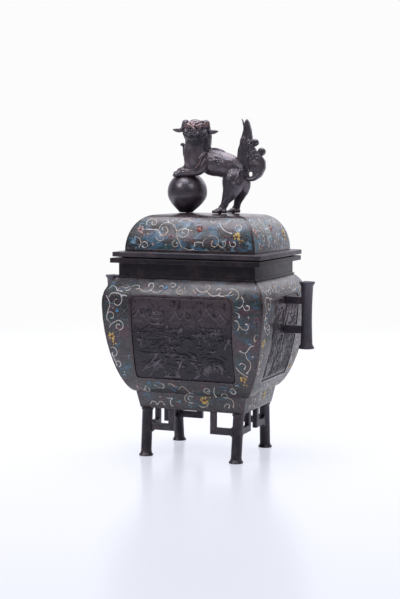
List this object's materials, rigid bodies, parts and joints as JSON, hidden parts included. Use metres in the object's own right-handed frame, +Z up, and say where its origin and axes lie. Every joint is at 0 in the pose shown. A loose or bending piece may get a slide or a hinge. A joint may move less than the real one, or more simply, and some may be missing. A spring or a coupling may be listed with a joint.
{
  "type": "incense burner",
  "caption": "Footed rectangular incense burner in bronze and enamel: a bombe vessel with relief panels and tube handles, and a domed lid that lifts off by a lion finial.",
  "frame": {"origin": "on the table, midway between the four feet", "axes": "+Z up, +X towards the right handle, the front picture panel faces -Y"},
  "size_m": [0.262, 0.1636, 0.3899],
  "materials": {
    "dark_bronze": "dark brown patina, rubbed on its edges",
    "enamel_ground": "worn dark teal enamel with pale wire scrolls",
    "relief_bronze": "blackened cast relief",
    "finial_bronze": "dark brown patina with a soft sheen",
    "liner_copper": "dull tarnished copper sheet"
  },
  "bodies": {
    "vessel": {"vessel_shell": "enamel_ground", "vessel_floor": "dark_bronze", "panel_front": "relief_bronze", "panel_right": "relief_bronze", "panel_back": "relief_bronze", "panel_left": "relief_bronze", "collar": "dark_bronze", "ash_liner": "liner_copper", "leg_front_left": "dark_bronze", "leg_front_right": "dark_bronze", "leg_back_right": "dark_bronze", "leg_back_left": "dark_bronze", "fret_front_left_long": "dark_bronze", "fret_front_left_short": "dark_bronze", "fret_front_right_long": "dark_bronze", "fret_front_right_short": "dark_bronze", "fret_back_right_long": "dark_bronze", "fret_back_right_short": "dark_bronze", "fret_back_left_long": "dark_bronze", "fret_back_left_short": "dark_bronze", "handle_tube_left": "dark_bronze", "handle_tube_right": "dark_bronze", "handle_arm_left_lower": "dark_bronze", "handle_arm_left_upper": "dark_bronze", "handle_arm_right_lower": "dark_bronze", "handle_arm_right_upper": "dark_bronze"},
    "lid": {"lid_flange": "dark_bronze", "lid_dome": "enamel_ground", "ball": "finial_bronze", "lion": "finial_bronze", "lion_tail": "finial_bronze", "rivet_ball": "dark_bronze", "rivet_near_foot": "dark_bronze", "rivet_far_foot": "dark_bronze"}
  },
  "joints": [
    {"name": "lid_lift", "type": "slide", "parent": "vessel", "child": "lid", "axis": [0, 0, 1], "range_m": [0, 0.12]}
  ]
}
